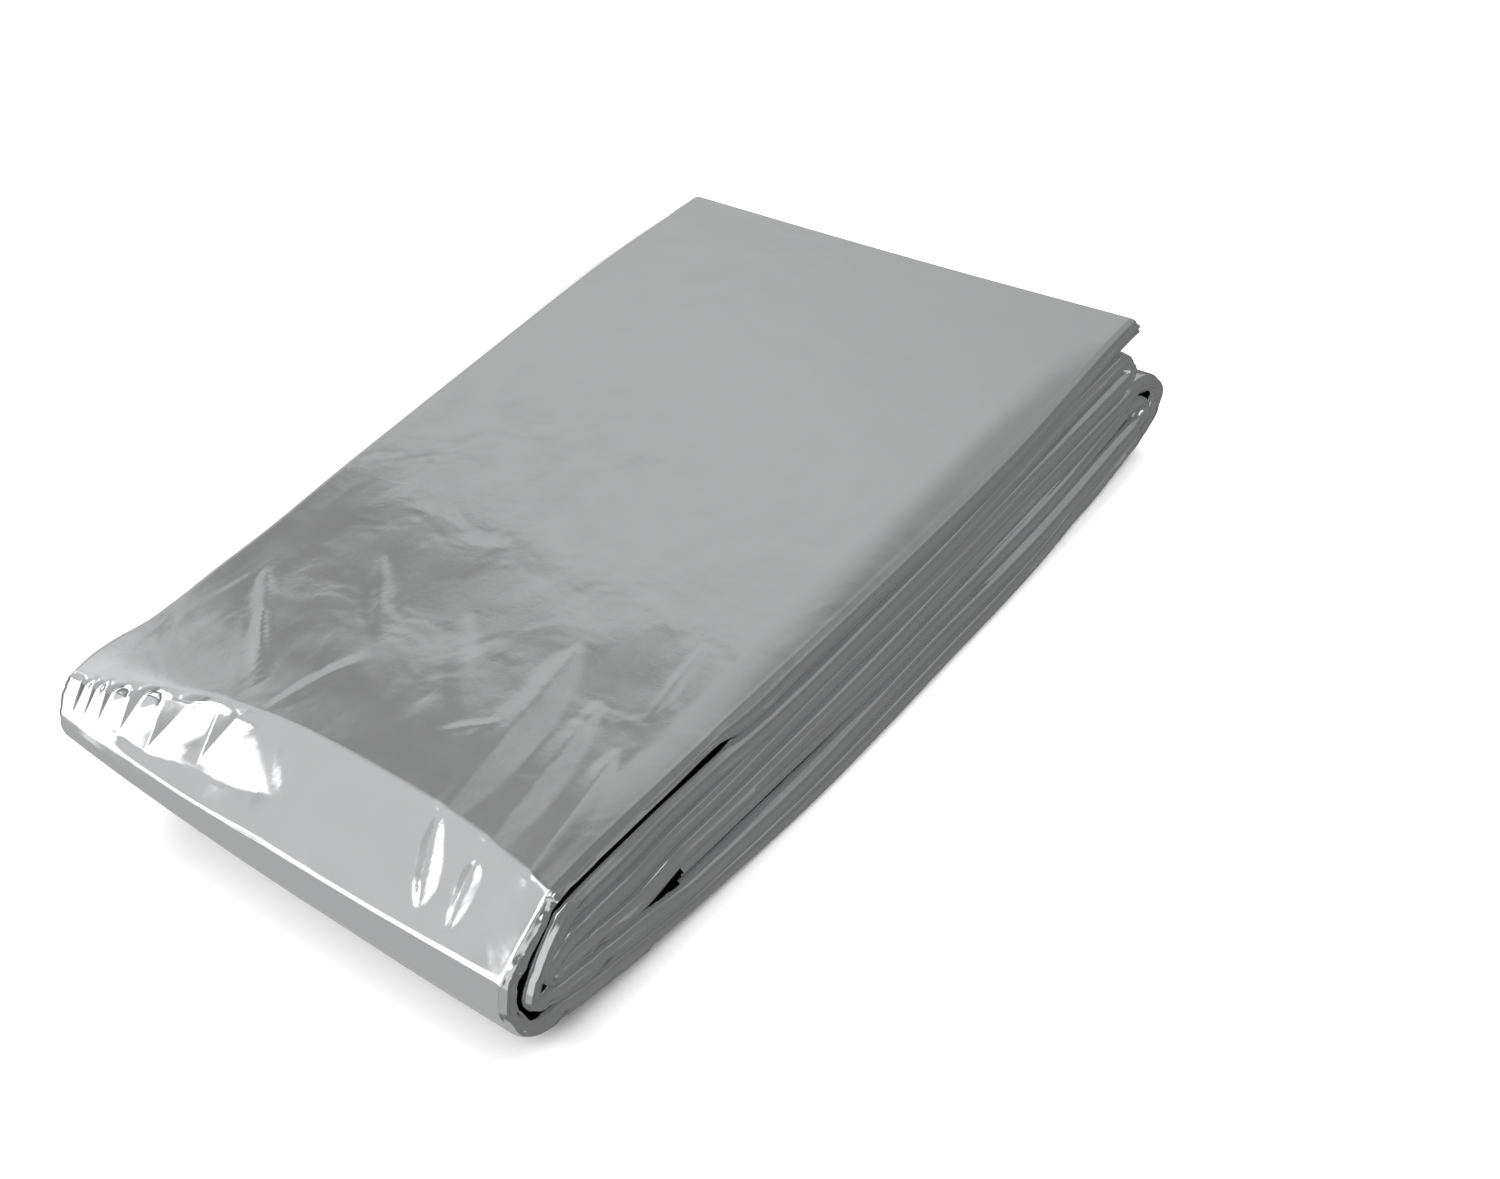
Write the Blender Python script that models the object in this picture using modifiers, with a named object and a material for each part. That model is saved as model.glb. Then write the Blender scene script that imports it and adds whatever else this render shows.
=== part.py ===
"""Emergency foil blanket, folded up as it comes out of its packet.

One sheet of metallised film, folded narrow first and then back and forth along its length. Each layer
here stands for the thin plies that lie pressed together in it. X runs across the pack, Y along it from the
rounded near end to the far end, and Z up from the surface that it rests on.

To run it in Blender 4.5: blender --background --python part.py
"""

import math
from collections import namedtuple

import bmesh
import bpy

MM = 0.001
NAME = "folded_blanket"

# Driving dimensions of the folded pack, in millimetres as all the tables below are.
PACK_WIDTH = 83.0
LAYER_THICKNESS = 2.3
CELLS_ACROSS = 18

# The outside of the stack along its length. The underside is flat in the middle and lifts at both ends.
Station = namedtuple("Station", "y under top")
STATIONS = (
    Station(-6.0, 5.6, 23.2),
    Station(4.0, 4.4, 23.4),
    Station(12.0, 3.0, 23.4),
    Station(20.0, 1.8, 23.3),
    Station(30.0, 0.6, 23.3),
    Station(40.0, 0.0, 23.2),
    Station(56.0, 0.0, 23.3),
    Station(72.0, 0.0, 23.4),
    Station(88.0, 0.0, 23.5),
    Station(100.0, 0.6, 23.5),
    Station(112.0, 1.7, 23.4),
    Station(122.0, 2.5, 23.3),
    Station(132.0, 3.0, 23.2),
)

# The layers in the order in which the film runs. A share is how far down the stack the layer lies, 0 on
# top and 1 underneath, at the near end, in the middle and at the far end. Left, right and right_far are
# how far its long edges stand out past the pack's width, wander is how much they waver, and droop is how
# far its right margin sinks.
Layer = namedtuple("Layer", "name near middle far left right right_far wander droop")
LAYERS = (
    Layer("top", 0.00, 0.00, 0.00, 0.0, 2.8, 0.2, 0.4, 1.3),
    Layer("bottom", 1.00, 1.00, 1.00, -0.6, 2.0, 1.6, 0.4, 0.0),
    Layer("fourth", 0.61, 0.49, 0.48, 0.2, 2.2, 1.6, 0.4, 0.1),
    Layer("third", 0.38, 0.33, 0.315, -0.6, 1.9, 1.6, 0.5, 0.5),
    Layer("second", 0.195, 0.165, 0.157, 0.3, 1.5, 1.2, 0.5, 0.9),
    Layer("sixth", 0.805, 0.83, 0.83, 0.0, 2.3, 2.0, 0.4, 0.0),
    Layer("fifth", 0.66, 0.66, 0.655, -0.4, 1.6, 1.4, 0.5, 0.0),
)

# The folds that join them, in the same order. Each leaves the layers at start and turns at tip, both of
# them along the pack and on the film's middle plane.
Fold = namedtuple("Fold", "start tip steps")
FOLDS = (
    Fold(4.0, -10.8, 14),
    Fold(122.0, 130.4, 10),
    Fold(0.6, -1.3, 4),
    Fold(122.0, 123.5, 5),
    Fold(4.0, -7.2, 9),
    Fold(123.0, 124.6, 5),
)
TOP_FAR_EDGE = 127.4
INNER_NEAR_EDGE = 19.0

# Along the pack, the layers spread from their near shares to the middle ones, and close in again further
# on.
SPREAD_FROM, SPREAD_TO = 2.0, 18.0
CLOSE_FROM, CLOSE_TO = 84.0, 118.0

# The near end is drawn in and pressed flatter towards its left corner, where its layers are thinner too.
# X counts from the pack's left side, and flatten is the share of the height below the top that is lost
# there.
Pinch = namedtuple("Pinch", "x draw_in flatten")
PINCHES = (
    Pinch(0.0, 2.6, 0.36),
    Pinch(17.0, 1.8, 0.26),
    Pinch(27.0, 1.6, 0.23),
    Pinch(45.0, 0.7, 0.12),
    Pinch(63.0, 0.4, 0.07),
    Pinch(83.0, 0.0, 0.00),
)
PINCH_FROM, PINCH_TO = 16.0, -9.0
NEAR_LEFT_THICKNESS_SHARE = 0.68

# Soft dents in the slanting upper face of the near end.
Dent = namedtuple("Dent", "x width depth")
DENTS = (
    Dent(9.0, 5.0, 0.30),
    Dent(18.0, 5.5, 0.40),
    Dent(27.5, 6.0, 0.45),
    Dent(40.0, 7.0, 0.30),
    Dent(60.5, 6.5, 0.45),
    Dent(69.5, 5.0, 0.40),
)
DENT_FROM, DENT_TO = 2.0, -9.5

# The upper layers sag a little between their long edges, less with depth, and not at all below this share
# of the stack. Their right margin starts to sink at a share of the width. Neither reaches the near end,
# where the fold holds the film up, and the far corner keeps a small share of the margin's sinking.
SAG = 0.35
SAG_DEPTH = 0.5
MARGIN_FROM = 0.90
SLACK_FROM, SLACK_TO = 5.0, 30.0
CORNER_FROM, CORNER_TO = 98.0, 126.0
CORNER_SHARE = 0.2

# The long edges waver in a slow wave along the pack with a quicker, smaller one on it. Each starts at its
# own phase, so that no two edges waver together. From NARROW_FROM on, the right edges draw in to their
# far reach.
SLOW_WAVE, QUICK_WAVE = 17.0, 7.3
QUICK_SHARE = 0.5
LAYER_PHASE, SIDE_PHASE = 2.4, 1.1
NARROW_FROM = 54.0

# A layer's flat stretch has a row of points at each station, but for those nearer than this to its ends.
CLOSEST_ROWS = 1.0


def smooth(value, low, high):
    """0 at low, 1 at high, and an easy curve between them."""
    part = min(max((value - low) / (high - low), 0.0), 1.0)
    return part * part * (3.0 - 2.0 * part)


def mix(first, second, part):
    return first + (second - first) * part


def read_table(rows, column, value):
    """The row columns after the first one, read at a value between two rows."""
    for before, after in zip(rows, rows[1:]):
        if value <= getattr(after, column):
            break
    gap = getattr(after, column) - getattr(before, column)
    part = min(max((value - getattr(before, column)) / gap, 0.0), 1.0)
    return [mix(a, b, part) for a, b in zip(before[1:], after[1:])]


def level(layer, y):
    """Height of the layer's middle plane at y."""
    under, top = read_table(STATIONS, "y", y)
    share = mix(layer.near, layer.middle, smooth(y, SPREAD_FROM, SPREAD_TO))
    share = mix(share, layer.far, smooth(y, CLOSE_FROM, CLOSE_TO))
    half = LAYER_THICKNESS / 2.0
    return mix(top - half, under + half, share)


# A point of the film seen from the side. In a fold it belongs to two layers, and part says how far on it
# is.
Point = namedtuple("Point", "y z layer after part")


def run_of(layer, begin, finish):
    """The flat stretch of a layer, with a point at each station on its way."""
    low, high = sorted((begin, finish))
    between = [s.y for s in STATIONS if low + CLOSEST_ROWS < s.y < high - CLOSEST_ROWS]
    stops = [low] + between + [high]
    if begin > finish:
        stops.reverse()
    return [Point(y, level(layer, y), layer, layer, 0.0) for y in stops]


def turn_of(fold, layer, after):
    """The round stretch between two layers, without its two ends."""
    begin, end = level(layer, fold.start), level(after, fold.start)
    points = []
    for step in range(1, fold.steps):
        part = step / fold.steps
        angle = math.pi * part
        y = mix(fold.start, fold.tip, math.sin(angle))
        z = mix(begin, end, (1.0 - math.cos(angle)) / 2.0)
        points.append(Point(y, z, layer, after, part))
    return points


def film_path():
    """The whole film seen from the side, from its free edge on top to its free edge inside."""
    begins = [TOP_FAR_EDGE] + [fold.start for fold in FOLDS]
    finishes = [fold.start for fold in FOLDS] + [INNER_NEAR_EDGE]
    path = []
    for index, layer in enumerate(LAYERS):
        path += run_of(layer, begins[index], finishes[index])
        if index < len(FOLDS):
            path += turn_of(FOLDS[index], layer, LAYERS[index + 1])
    return path


def edges_of(layer, y):
    """How far the layer's left and right edges stand out at y."""
    right = mix(layer.right, layer.right_far, smooth(y, NARROW_FROM, CLOSE_TO))
    edges = []
    for side, reach in enumerate((layer.left, right)):
        phase = LAYER_PHASE * LAYERS.index(layer) + SIDE_PHASE * side
        waver = math.sin(y / SLOW_WAVE + phase) + QUICK_SHARE * math.sin(y / QUICK_WAVE + 2.0 * phase)
        edges.append(reach + layer.wander * waver / (1.0 + QUICK_SHARE))
    return edges


def dent_depth(x, y):
    """How far the near end's upper face is pressed in."""
    part = min(max((DENT_FROM - y) / (DENT_FROM - DENT_TO), 0.0), 1.0)
    total = sum(d.depth * math.exp(-((2.0 * (x - d.x) / d.width) ** 2)) for d in DENTS)
    return math.sin(math.pi * part) * total


def pinch_at(y):
    """0 up to where the near end starts to be pinched, and 1 at its tip."""
    return smooth(-y, -PINCH_FROM, -PINCH_TO)


def place(point, across):
    """Where the film lies, in metres, for a point of its side view and a share of its width."""
    y, z, layer, after, part = point
    left, right = (mix(a, b, part) for a, b in zip(edges_of(layer, y), edges_of(after, y)))
    x = mix(-left, PACK_WIDTH + right, across)
    depth = min(mix(layer.middle, after.middle, part) / SAG_DEPTH, 1.0)
    slack = smooth(y, SLACK_FROM, SLACK_TO)
    z -= slack * SAG * (1.0 - depth) * math.sin(math.pi * across)
    margin = smooth(across, MARGIN_FROM, 1.0) * mix(1.0, CORNER_SHARE, smooth(y, CORNER_FROM, CORNER_TO))
    z -= slack * margin * mix(layer.droop, after.droop, part)
    if layer is LAYERS[0] and after is LAYERS[1] and part < 0.5:
        z -= dent_depth(x, y)
    draw_in, flatten = read_table(PINCHES, "x", x)
    pinch = pinch_at(y)
    top = read_table(STATIONS, "y", y)[1]
    z = mix(z, top, flatten * pinch)
    y += draw_in * pinch
    return ((x - PACK_WIDTH / 2.0) * MM, y * MM, z * MM)


def film_material():
    """Matt silver film."""
    material = bpy.data.materials.new("silver_film")
    material.use_nodes = True
    shader = material.node_tree.nodes["Principled BSDF"]
    shader.inputs["Base Color"].default_value = (0.60, 0.61, 0.62, 1.0)
    shader.inputs["Metallic"].default_value = 1.0
    shader.inputs["Roughness"].default_value = 0.35
    return material


def folded_blanket(collection):
    """A flat grid of film, laid along the folded path and then given its thickness."""
    path = film_path()
    grid = bmesh.new()
    bmesh.ops.create_grid(grid, x_segments=CELLS_ACROSS, y_segments=len(path) - 1, size=0.5)
    weights = []
    for vertex in grid.verts:
        across = vertex.co.x + 0.5
        point = path[round((vertex.co.y + 0.5) * (len(path) - 1))]
        vertex.co = place(point, across)
        weights.append(1.0 - pinch_at(point.y) * (1.0 - across))
    bmesh.ops.recalc_face_normals(grid, faces=grid.faces)
    mesh = bpy.data.meshes.new(NAME)
    grid.to_mesh(mesh)
    grid.free()
    mesh.shade_smooth()
    mesh.materials.append(film_material())
    blanket = bpy.data.objects.new(NAME, mesh)
    collection.objects.link(blanket)
    full = blanket.vertex_groups.new(name="full_thickness")
    for index, weight in enumerate(weights):
        full.add([index], weight, "REPLACE")
    plies = blanket.modifiers.new("plies", "SOLIDIFY")
    plies.thickness = LAYER_THICKNESS * MM
    plies.offset = 0.0
    plies.use_even_offset = True
    plies.vertex_group = full.name
    plies.thickness_vertex_group = NEAR_LEFT_THICKNESS_SHARE
    return blanket


def stand_over_origin(blanket):
    """Moves the pack so that the origin lies under the middle of its box."""
    graph = bpy.context.evaluated_depsgraph_get()
    corners = blanket.evaluated_get(graph).bound_box
    for axis in (0, 1):
        values = [corner[axis] for corner in corners]
        blanket.location[axis] = -(min(values) + max(values)) / 2.0


def main():
    for leftover in list(bpy.data.objects):
        bpy.data.objects.remove(leftover, do_unlink=True)
    collection = bpy.data.collections.new("emergency_foil_blanket")
    bpy.context.scene.collection.children.link(collection)
    blanket = folded_blanket(collection)
    bpy.context.view_layer.update()
    stand_over_origin(blanket)


main()
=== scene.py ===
# %% [markdown]
# # Emergency foil blanket, folded into its pack
#
# The real blanket is one sheet of polyester film, thinner than a hair, with aluminium condensed on it in a
# vacuum. It is folded narrow first, then back and forth along its length, and pressed flat. What the eye
# sees is a stack of soft layers, each of them many plies of film. One layer is wrapped round the near end.
#
# It could be made as a stack of boxes, as a cloth simulation, or as one long ribbon laid along the path
# that the film takes. The ribbon is used here: it gives one sheet, its folds fall where they are put, and
# every layer can be as uneven as the real ones.

import math
from collections import namedtuple

import bpy
import numpy as np
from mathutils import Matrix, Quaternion, Vector


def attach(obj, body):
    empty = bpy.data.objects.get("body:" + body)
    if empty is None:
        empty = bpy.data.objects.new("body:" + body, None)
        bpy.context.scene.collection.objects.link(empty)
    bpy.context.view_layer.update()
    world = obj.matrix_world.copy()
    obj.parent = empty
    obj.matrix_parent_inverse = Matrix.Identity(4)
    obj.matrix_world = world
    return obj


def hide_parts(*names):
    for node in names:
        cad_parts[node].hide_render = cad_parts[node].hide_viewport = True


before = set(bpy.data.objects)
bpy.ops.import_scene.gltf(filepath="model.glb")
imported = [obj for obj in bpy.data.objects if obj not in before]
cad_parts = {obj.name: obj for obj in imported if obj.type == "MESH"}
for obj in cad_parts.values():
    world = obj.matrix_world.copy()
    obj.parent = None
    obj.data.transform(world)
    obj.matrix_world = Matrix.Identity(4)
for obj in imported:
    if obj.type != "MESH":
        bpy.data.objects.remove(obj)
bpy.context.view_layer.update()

# %% [markdown]
# ## The camera
#
# The camera stands to the right of the near end and looks down along the pack, held a little askew. Its
# place was worked out from the straight edges of the pack. A place, a point to look at and a roll say that
# more plainly than three rotation angles would.

# %% Camera
MM = 0.001
CAMERA_AT = Vector((186.007, -159.824, 204.601)) * MM
LOOK_AT = Vector((7.37, 12.84, 0.0)) * MM
CAMERA_ROLL = math.radians(-11.31)
FOCAL_LENGTH = 53.126
SENSOR_WIDTH = 36.0

camera = bpy.data.objects.new("camera", bpy.data.cameras.new("camera"))
bpy.context.scene.collection.objects.link(camera)
camera.data.lens = FOCAL_LENGTH
camera.data.sensor_width = SENSOR_WIDTH
camera.data.clip_start = 0.01
camera.location = CAMERA_AT
camera.rotation_mode = "QUATERNION"
aim = (LOOK_AT - CAMERA_AT).to_track_quat("-Z", "Y")
camera.rotation_quaternion = aim @ Quaternion((0.0, 0.0, 1.0), CAMERA_ROLL)
bpy.context.scene.camera = camera
print("camera looks along", [round(v, 3) for v in aim @ Vector((0.0, 0.0, -1.0))])

# %% [markdown]
# ## The shape of the pack
#
# The pack is measured in millimetres from its left side, from the crease above its near end, and up from
# the surface it lies on. A few short tables give its outside: along its length, its underside and top, and
# across its width, the corners of the near end seen from the side.
#
# Film mirrors its surroundings, so a kink in its surface shows as a line of light. The tables are therefore
# read along smooth curves, and a kink is only made where the real film has one.

# %% Outside of the stack
PACK_WIDTH = 83.0
PACK_LEFT, CREASE_LINE = -42.769, -59.810

Station = namedtuple("Station", "y under top")
STATIONS = (
    Station(-12.0, 6.4, 23.4),
    Station(4.0, 4.4, 23.4),
    Station(12.0, 3.0, 23.4),
    Station(20.0, 1.8, 23.35),
    Station(30.0, 0.6, 23.3),
    Station(40.0, 0.0, 23.3),
    Station(56.0, 0.0, 23.3),
    Station(72.0, 0.0, 23.4),
    Station(88.0, 0.0, 23.5),
    Station(100.0, 0.6, 23.5),
    Station(112.0, 1.7, 23.4),
    Station(122.0, 2.5, 23.3),
    Station(132.0, 3.0, 23.2),
)

# The near end seen from the side, for places across the pack. Each corner has its place along the pack and
# its drop below the top. Thick is the outer film there, and draw_in is how far the folds inside stay back.
Near = namedtuple(
    "Near", "x crease crease_drop ridge ridge_drop tip tip_drop heel heel_drop thick draw_in"
)
NEAR = (
    Near(0.0, -4.0, 1.0, -8.3, 4.1, -9.8, 5.9, -8.3, 9.8, 1.5, 2.6),
    Near(4.0, -3.8, 0.95, -8.4, 4.4, -10.0, 6.2, -8.5, 10.4, 1.5, 2.5),
    Near(8.0, -3.1, 0.85, -8.5, 4.8, -10.1, 6.6, -8.7, 11.0, 1.6, 2.3),
    Near(13.0, -1.3, 0.7, -8.6, 5.1, -10.3, 7.0, -8.8, 11.7, 1.6, 2.0),
    Near(19.0, 0.7, 0.5, -8.8, 5.4, -10.5, 7.4, -8.9, 12.4, 1.7, 1.8),
    Near(24.0, 2.3, 0.35, -9.0, 5.6, -10.7, 7.7, -9.0, 12.9, 1.8, 1.7),
    Near(30.0, 3.5, 0.2, -9.2, 5.7, -10.9, 8.0, -9.1, 13.4, 1.8, 1.4),
    Near(36.0, 4.0, 0.1, -9.5, 5.6, -11.1, 8.2, -9.2, 13.9, 1.9, 1.1),
    Near(44.0, 4.1, 0.0, -9.8, 5.2, -11.3, 8.5, -9.3, 14.4, 2.0, 0.8),
    Near(52.0, 4.0, 0.0, -10.0, 5.1, -11.4, 8.8, -9.4, 14.8, 2.0, 0.6),
    Near(62.0, 3.6, 0.0, -10.1, 5.1, -11.6, 9.0, -9.5, 15.4, 2.3, 0.4),
    Near(70.0, 2.8, 0.0, -10.1, 5.1, -11.7, 9.2, -9.6, 15.7, 2.4, 0.2),
    Near(76.0, 1.8, 0.0, -10.0, 5.2, -11.8, 9.3, -9.6, 15.9, 2.5, 0.1),
    Near(83.0, 0.5, 0.0, -9.9, 5.4, -11.8, 9.4, -9.6, 16.2, 2.6, 0.0),
)
NEAR_RUN_ENDS = 12.0
CORNER_SINKS_FROM = 24.0

print("stations along the pack:", len(STATIONS), "and across its near end:", len(NEAR))

# %% [markdown]
# ### Reading the tables
#
# Straight lines between a table's rows would leave kinks in the mirror. Each column is read instead on a
# Hermite curve, which goes through every row with an even slope. Two small helpers blend values: `mix` goes
# straight from one to the other, and `ease` says how far along something is, with a soft start and end.

# %% Smooth curves through the tables


def ease(value, low, high):
    """0 at low, 1 at high, and an easy curve between them."""
    part = np.clip((value - low) / (high - low), 0.0, 1.0)
    return part * part * (3.0 - 2.0 * part)


def mix(first, second, part):
    return first + (second - first) * part


def read_curve(rows, column, at):
    """A column of a table, read on a smooth curve through its rows."""
    places = np.array([row[0] for row in rows])
    values = np.array([getattr(row, column) for row in rows])
    slopes = np.gradient(values, places)
    at = np.clip(at, places[0], places[-1])
    index = np.clip(np.searchsorted(places, at) - 1, 0, len(places) - 2)
    gap = places[index + 1] - places[index]
    t = (at - places[index]) / gap
    return (
        (1 + 2 * t) * (1 - t) ** 2 * values[index]
        + t * (1 - t) ** 2 * gap * slopes[index]
        + t * t * (3 - 2 * t) * values[index + 1]
        + t * t * (t - 1) * gap * slopes[index + 1]
    )


def top_at(x, y):
    """Height of the stack's top. It sinks to the near left corner, and past the crease it slants down."""
    names = ("crease", "crease_drop", "ridge", "ridge_drop")
    crease, crease_drop, ridge, ridge_drop = (read_curve(NEAR, name, x) for name in names)
    slant = np.clip((crease - y) / (crease - ridge), 0.0, None)
    to_corner = np.clip((CORNER_SINKS_FROM - y) / (CORNER_SINKS_FROM - crease), 0.0, 1.0)
    sunk = crease_drop * to_corner ** 2
    return read_curve(STATIONS, "top", y) - sunk - slant * (ridge_drop - crease_drop)


def under_at(x, y):
    """Height of the stack's underside. It rises to the near end's heel."""
    start = read_curve(STATIONS, "under", np.maximum(y, NEAR_RUN_ENDS))
    heel, drop = read_curve(NEAR, "heel", x), read_curve(NEAR, "heel_drop", x)
    part = np.clip((NEAR_RUN_ENDS - y) / (NEAR_RUN_ENDS - heel), 0.0, None)
    return mix(start, read_curve(STATIONS, "top", y) - drop, part)


print("height in the middle, mm:", round(float(top_at(40.0, 60.0) - under_at(40.0, 60.0)), 1))

# %% [markdown]
# ## The layers
#
# Seven layers lie in the pack. The table has them in the order in which the film runs: over the top, round
# the near end, back along the underside, round the far nose, and then to and fro inside. A share says how
# far down the stack a layer lies. The shares change behind the near end, where the last layer joins the
# six others. A fold says where the film leaves its layer, how far its tip reaches, and in how many steps
# it turns.

# %% Layers and folds
Layer = namedtuple("Layer", "name near middle far left right right_far wander")
LAYERS = (
    Layer("top", 0.00, 0.00, 0.00, 0.0, 0.0, 0.0, 0.0),
    Layer("bottom", 1.00, 1.00, 1.00, -0.6, 2.0, 1.6, 0.4),
    Layer("fourth", 0.60, 0.49, 0.48, 0.2, 2.2, 1.6, 0.4),
    Layer("third", 0.40, 0.33, 0.315, -0.6, 1.9, 1.6, 0.5),
    Layer("second", 0.20, 0.165, 0.157, 0.3, 2.1, 1.2, 0.4),
    Layer("sixth", 0.80, 0.83, 0.83, 0.0, 2.3, 2.0, 0.4),
    Layer("fifth", 0.66, 0.66, 0.655, -0.4, 1.6, 1.4, 0.5),
)
TOP, BOTTOM = LAYERS[0], LAYERS[1]

Fold = namedtuple("Fold", "start tip steps")
FOLDS = (
    None,
    Fold(122.0, 130.4, 22),
    Fold(0.6, -3.9, 10),
    Fold(122.0, 123.5, 9),
    Fold(4.0, -7.4, 20),
    Fold(123.0, 126.6, 12),
)
TOP_FAR_EDGE = 127.4
INNER_NEAR_EDGE = 19.0

# Where the shares pass from near to middle, and from middle to far, and where the inner folds are drawn in.
SPREAD_FROM, SPREAD_TO = 9.0, 20.5
CLOSE_FROM, CLOSE_TO = 84.0, 118.0
PINCH_FROM, PINCH_TO = 16.0, -9.0


def share_at(layer, y):
    share = mix(layer.near, layer.middle, ease(y, SPREAD_FROM, SPREAD_TO))
    return mix(share, layer.far, ease(y, CLOSE_FROM, CLOSE_TO))


print("layers from the top down:", [layer.name for layer in sorted(LAYERS, key=lambda one: one.middle)])

# %% [markdown]
# ### Slack and margins
#
# Pressed film is never quite flat. Each upper layer sags a little between its long edges, and along the
# right edge some layers sink further, as the table of margins says. Near the right end of the crease the
# top layer is thinned along that edge. Its underside lifts off the second layer there, and the gap between
# the two shows as a dark line.

# %% Slack, margins and thickness
SAG, SAG_DEPTH = 0.35, 0.5
SLACK_FROM, SLACK_TO = 5.0, 30.0
MARGIN_FROM = 0.93
THINNED_FROM, THINNED_TO = 0.86, 0.95
NEAR_THICKNESS_SHARE, THICKNESS_SHARE = 0.158, 0.132

# How far three of the layers sink at the right edge, and the share by which the top layer is thinned there.
Margin = namedtuple("Margin", "y top second bottom thinned")
MARGINS = (
    Margin(-12.0, 0.0, 0.0, 0.0, 0.0),
    Margin(-6.0, 0.05, 0.0, 0.0, 0.2),
    Margin(0.0, 0.25, -0.25, 0.0, 0.40),
    Margin(8.0, 0.3, -0.35, 0.0, 0.38),
    Margin(20.0, 0.3, -0.25, 0.0, 0.35),
    Margin(31.0, 0.35, -0.2, 0.0, 0.30),
    Margin(33.0, 0.38, -0.05, 0.0, 0.06),
    Margin(34.0, 0.4, 0.0, 0.0, 0.0),
    Margin(46.0, 0.55, 0.4, 0.0, 0.0),
    Margin(60.0, 0.7, 0.5, 0.0, 0.0),
    Margin(98.0, 0.8, 0.6, 0.0, 0.0),
    Margin(106.0, 0.6, 0.5, 0.0, 0.0),
    Margin(112.0, 0.5, 0.4, 0.5, 0.0),
    Margin(117.0, 0.3, 0.3, 0.4, 0.0),
    Margin(122.0, 0.1, 0.1, 0.0, 0.0),
    Margin(132.0, 0.0, 0.0, 0.0, 0.0),
)


def slack_at(layer, y, across):
    """How far a layer sinks between its long edges and at its right margin."""
    depth = min(layer.middle / SAG_DEPTH, 1.0)
    sag = ease(y, SLACK_FROM, SLACK_TO) * SAG * (1.0 - depth) * np.sin(math.pi * across)
    if layer.name not in Margin._fields:
        return sag
    margin = np.clip((across - MARGIN_FROM) / (1.0 - MARGIN_FROM), 0.0, None) ** 2
    return sag + margin * read_curve(MARGINS, layer.name, y)


def thinned(across, y):
    """The share of its thickness that the top layer lacks along its right edge, over the dark gap there."""
    return ease(across, THINNED_FROM, THINNED_TO) * read_curve(MARGINS, "thinned", y)


def thickness_at(x, y):
    """How thick one layer is. The near end has one layer fewer, so that each one fills out more."""
    share = mix(NEAR_THICKNESS_SHARE, THICKNESS_SHARE, ease(y, SPREAD_FROM, SPREAD_TO))
    return share * (top_at(x, y) - under_at(x, y))


print("one layer in the middle, mm:", round(float(thickness_at(40.0, 60.0)), 2))

# %% [markdown]
# ### The long edges
#
# No two layers end in line. The top layer's edges follow a table. The others stand out by a reach of their
# own, which wavers: two waves of unlike lengths are added, so that the pattern doesn't repeat. A wave's
# length is given over two pi, so that it can go straight into a sine, and its shift says how far the seed
# of a layer or an edge moves it along.

# %% Long edges
Wave = namedtuple("Wave", "size length shift")
EDGE_WAVES = (Wave(1.0, 17.0, 1.0), Wave(0.5, 7.3, 2.0))
EDGE_WAVES_PEAK = sum(wave.size for wave in EDGE_WAVES)
LAYER_PHASE, SIDE_PHASE = 2.4, 1.1
NARROW_FROM = 54.0

# How far the top layer's long edges stand out.
Edge = namedtuple("Edge", "y left right")
TOP_EDGE = (
    Edge(-12.0, 1.9, 1.4),
    Edge(-8.0, 2.0, 1.3),
    Edge(-4.0, 2.5, 1.2),
    Edge(0.0, 2.6, 1.0),
    Edge(4.0, 1.8, 0.8),
    Edge(8.0, 0.6, 0.7),
    Edge(12.5, 0.2, 0.7),
    Edge(20.0, 0.4, 0.8),
    Edge(30.0, 0.5, 0.9),
    Edge(45.0, 1.2, 1.1),
    Edge(60.0, 1.6, 1.3),
    Edge(80.0, 2.0, 1.4),
    Edge(95.0, 2.4, 1.3),
    Edge(105.0, 2.55, 1.0),
    Edge(112.0, 2.3, 0.6),
    Edge(119.0, 1.8, 0.3),
    Edge(128.0, 1.3, 0.2),
)


def waves_at(waves, run, seed):
    """The sum of some waves at a distance along the film."""
    return sum(wave.size * np.sin(run / wave.length + wave.shift * seed) for wave in waves)


def edges_at(layer, y):
    """How far a layer's left and right edges stand out at y."""
    if layer is TOP:
        return [read_curve(TOP_EDGE, "left", y), read_curve(TOP_EDGE, "right", y)]
    left, right = layer.left, mix(layer.right, layer.right_far, ease(y, NARROW_FROM, CLOSE_TO))
    edges = []
    for side, reach in enumerate((left, right)):
        phase = LAYER_PHASE * LAYERS.index(layer) + SIDE_PHASE * side
        edges.append(reach + layer.wander * waves_at(EDGE_WAVES, y, phase) / EDGE_WAVES_PEAK)
    return edges


middle_edges = [round(float(reach), 2) for reach in edges_at(BOTTOM, 60.0)]
print("the lowest layer's edges stand out, mm:", middle_edges)

# %% [markdown]
# ## Rows of points along the film
#
# The film is cut into rows. A row crosses the film from its left edge to its right one, and has points on
# both of its faces: face A is the one that lies on top of the pack, and face B is the other one. The rows
# over the top and round the near end have many columns, because their pleats show. The others have few.

# %% Columns across the film
FEW_COLUMNS = np.array(
    [0, 2, 5, 10, 16, 23, 30, 37, 44, 51, 57, 62, 66, 69.5, 72, 74]
    + [75.5, 77, 78, 79, 80, 81, 81.5, 82, 82.5, 83]
)
Span = namedtuple("Span", "start stop spacing")
SPANS = (Span(0.0, 29.0, 0.3), Span(29.0, 58.0, 0.9), Span(58.0, PACK_WIDTH, 0.5))
MANY_COLUMNS = np.union1d(FEW_COLUMNS, np.concatenate([np.arange(*span) for span in SPANS]).round(2))
print("columns:", len(MANY_COLUMNS), "and", len(FEW_COLUMNS))

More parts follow.
